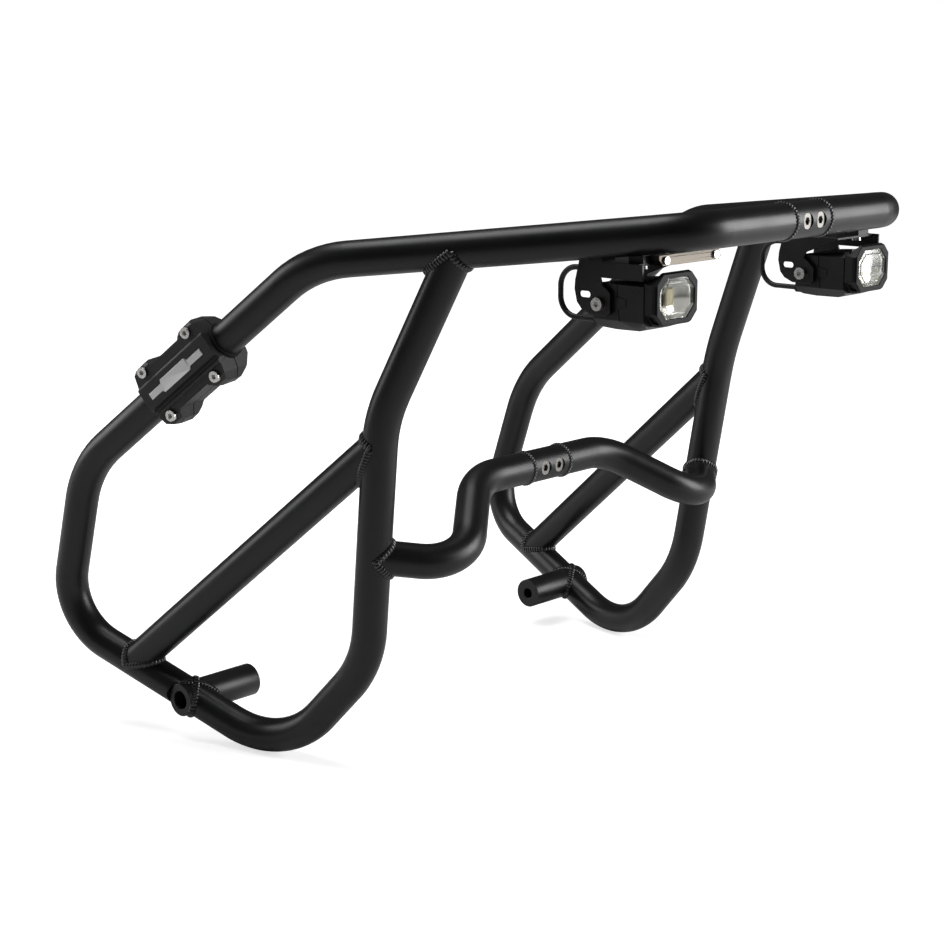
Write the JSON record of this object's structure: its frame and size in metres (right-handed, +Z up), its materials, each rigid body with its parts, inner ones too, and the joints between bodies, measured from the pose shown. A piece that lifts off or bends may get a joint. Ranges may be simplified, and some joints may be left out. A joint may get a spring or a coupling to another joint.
{
  "type": "motorcycle crash bars",
  "caption": "Welded tubular crash bars for a motorcycle: two mirrored bent-tube frames bolted together at the middle, with a slider pad and tilting auxiliary lamps under the top rails.",
  "frame": {"origin": "middle plane of the motorcycle, middle of the part's length, at the height of the lowest tube", "axes": "+X towards the rider's left, -Y towards the front of the motorcycle, +Z up"},
  "size_m": [0.6356, 0.621, 0.496],
  "materials": {
    "powder_black": "satin black powder coat",
    "bracket_black": "satin black",
    "zinc_screw": "bright zinc",
    "pad_plastic": "fine grain moulded",
    "bright_plate": "plain brushed, unmarked",
    "rubber": "matt",
    "polished_bar": "polished",
    "lamp_black": "satin black die casting",
    "reflector": "bright vapour coated",
    "lens": "clear",
    "cable": "matt"
  },
  "bodies": {
    "frame": {"loop_right": "powder_black", "front_leg_right": "powder_black", "brace_right": "powder_black", "lower_bar_right": "powder_black", "boss_right": "powder_black", "loop_left": "powder_black", "front_leg_left": "powder_black", "brace_left": "powder_black", "lower_bar_left": "powder_black", "boss_left": "powder_black", "upper_coupler_right": "powder_black", "upper_coupler_left": "powder_black", "lower_coupler_right": "powder_black", "lower_coupler_left": "powder_black", "upper_coupler_screws": "zinc_screw", "lower_coupler_screws": "zinc_screw", "weld_beads_right": "powder_black", "weld_beads_left": "powder_black", "upper_weld_rings": "powder_black", "lower_weld_rings": "powder_black", "pad_cover": "pad_plastic", "pad_back": "pad_plastic", "pad_plate": "bright_plate", "pad_screws": "zinc_screw", "pad_liner": "rubber", "lamp_bracket_right": "bracket_black", "bracket_foot_right": "bracket_black", "bracket_screws_right": "zinc_screw", "lamp_bracket_left": "bracket_black", "bracket_foot_left": "bracket_black", "bracket_screws_left": "zinc_screw", "stay_bar": "polished_bar", "stay_screw": "zinc_screw"},
    "lamp_right": {"lamp_housing_right": "lamp_black", "lamp_bezel_right": "lamp_black", "lamp_reflector_right": "reflector", "lamp_lens_right": "lens", "pivot_bolts_right": "zinc_screw", "lamp_gland_right": "rubber", "lamp_lead_right": "cable"},
    "lamp_left": {"lamp_housing_left": "lamp_black", "lamp_bezel_left": "lamp_black", "lamp_reflector_left": "reflector", "lamp_lens_left": "lens", "pivot_bolts_left": "zinc_screw", "lamp_gland_left": "rubber", "lamp_lead_left": "cable"}
  },
  "joints": [
    {"name": "lamp_tilt_right", "type": "hinge", "parent": "frame", "child": "lamp_right", "pos_m": [-0.1405, -0.2242, 0.42122], "axis": [-1, 0, 0], "range_deg": [-10, 5]},
    {"name": "lamp_tilt_left", "type": "hinge", "parent": "frame", "child": "lamp_left", "pos_m": [0.1405, -0.2242, 0.42122], "axis": [-1, 0, 0], "range_deg": [-10, 5]}
  ]
}
